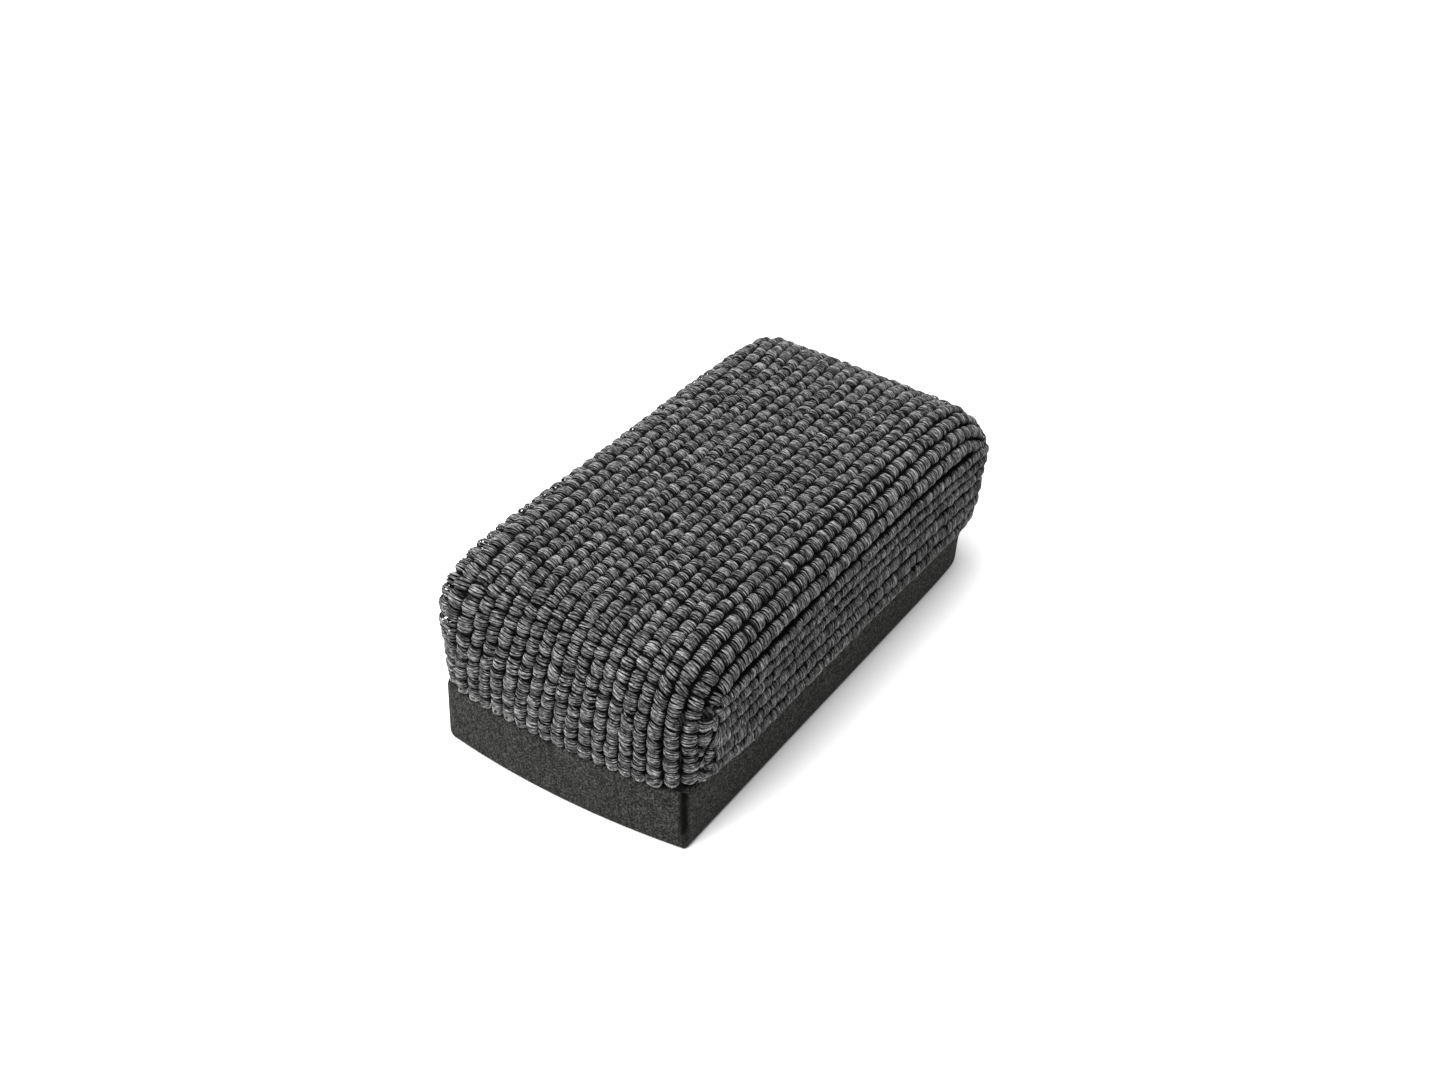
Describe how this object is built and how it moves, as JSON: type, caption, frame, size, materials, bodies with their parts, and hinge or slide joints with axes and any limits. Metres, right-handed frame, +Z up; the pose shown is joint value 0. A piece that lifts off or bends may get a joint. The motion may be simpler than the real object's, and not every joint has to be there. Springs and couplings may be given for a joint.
{
  "type": "chalkboard eraser",
  "caption": "Hand eraser for chalkboards: a felt-covered grip block under a crowned foam pad wrapped in chunky lengthwise looped cord cloth.",
  "frame": {"origin": "under the middle of the eraser, on the surface that the grip block stands on", "axes": "+X along the length, away from the short end beside the felt strip's seam; +Y across the width; +Z up, out of the wiping face"},
  "size_m": [0.13, 0.068, 0.044],
  "materials": {
    "cord_yarn": "looped melange yarn, matte",
    "tuck_yarn": "gathered looped yarn, matte",
    "ground_cloth": "close woven backing, matte",
    "band_felt": "pressed felt with a short nap, matte",
    "core_foam": "firm closed-cell foam, matte",
    "pad_foam": "soft open-cell foam, matte",
    "board": "hardboard, satin",
    "staple_wire": "bright wire"
  },
  "bodies": {
    "root": {"back_row_1": "cord_yarn", "back_row_2": "cord_yarn", "back_row_3": "cord_yarn", "back_row_4": "cord_yarn", "back_row_5": "cord_yarn", "back_row_6": "cord_yarn", "back_row_7": "cord_yarn", "base_felt": "band_felt", "carrier_board": "board", "cord_over_01": "cord_yarn", "cord_over_02": "cord_yarn", "cord_over_03": "cord_yarn", "cord_over_04": "cord_yarn", "cord_over_05": "cord_yarn", "cord_over_06": "cord_yarn", "cord_over_07": "cord_yarn", "cord_over_08": "cord_yarn", "cord_over_09": "cord_yarn", "cord_over_10": "cord_yarn", "cord_over_11": "cord_yarn", "cord_over_12": "cord_yarn", "cord_over_13": "cord_yarn", "cord_over_14": "cord_yarn", "cord_over_15": "cord_yarn", "cord_over_16": "cord_yarn", "cord_over_17": "cord_yarn", "cord_over_18": "cord_yarn", "cord_over_19": "cord_yarn", "cord_over_20": "cord_yarn", "corner_tuck_back_left": "tuck_yarn", "corner_tuck_back_right": "tuck_yarn", "corner_tuck_front_left": "tuck_yarn", "corner_tuck_front_right": "tuck_yarn", "cover_cloth": "ground_cloth", "felt_band": "band_felt", "foam_pad": "pad_foam", "front_row_1": "cord_yarn", "front_row_2": "cord_yarn", "front_row_3": "cord_yarn", "front_row_4": "cord_yarn", "front_row_5": "cord_yarn", "front_row_6": "cord_yarn", "front_row_7": "cord_yarn", "grip_core": "core_foam", "hem_staples": "staple_wire"}
  },
  "joints": []
}
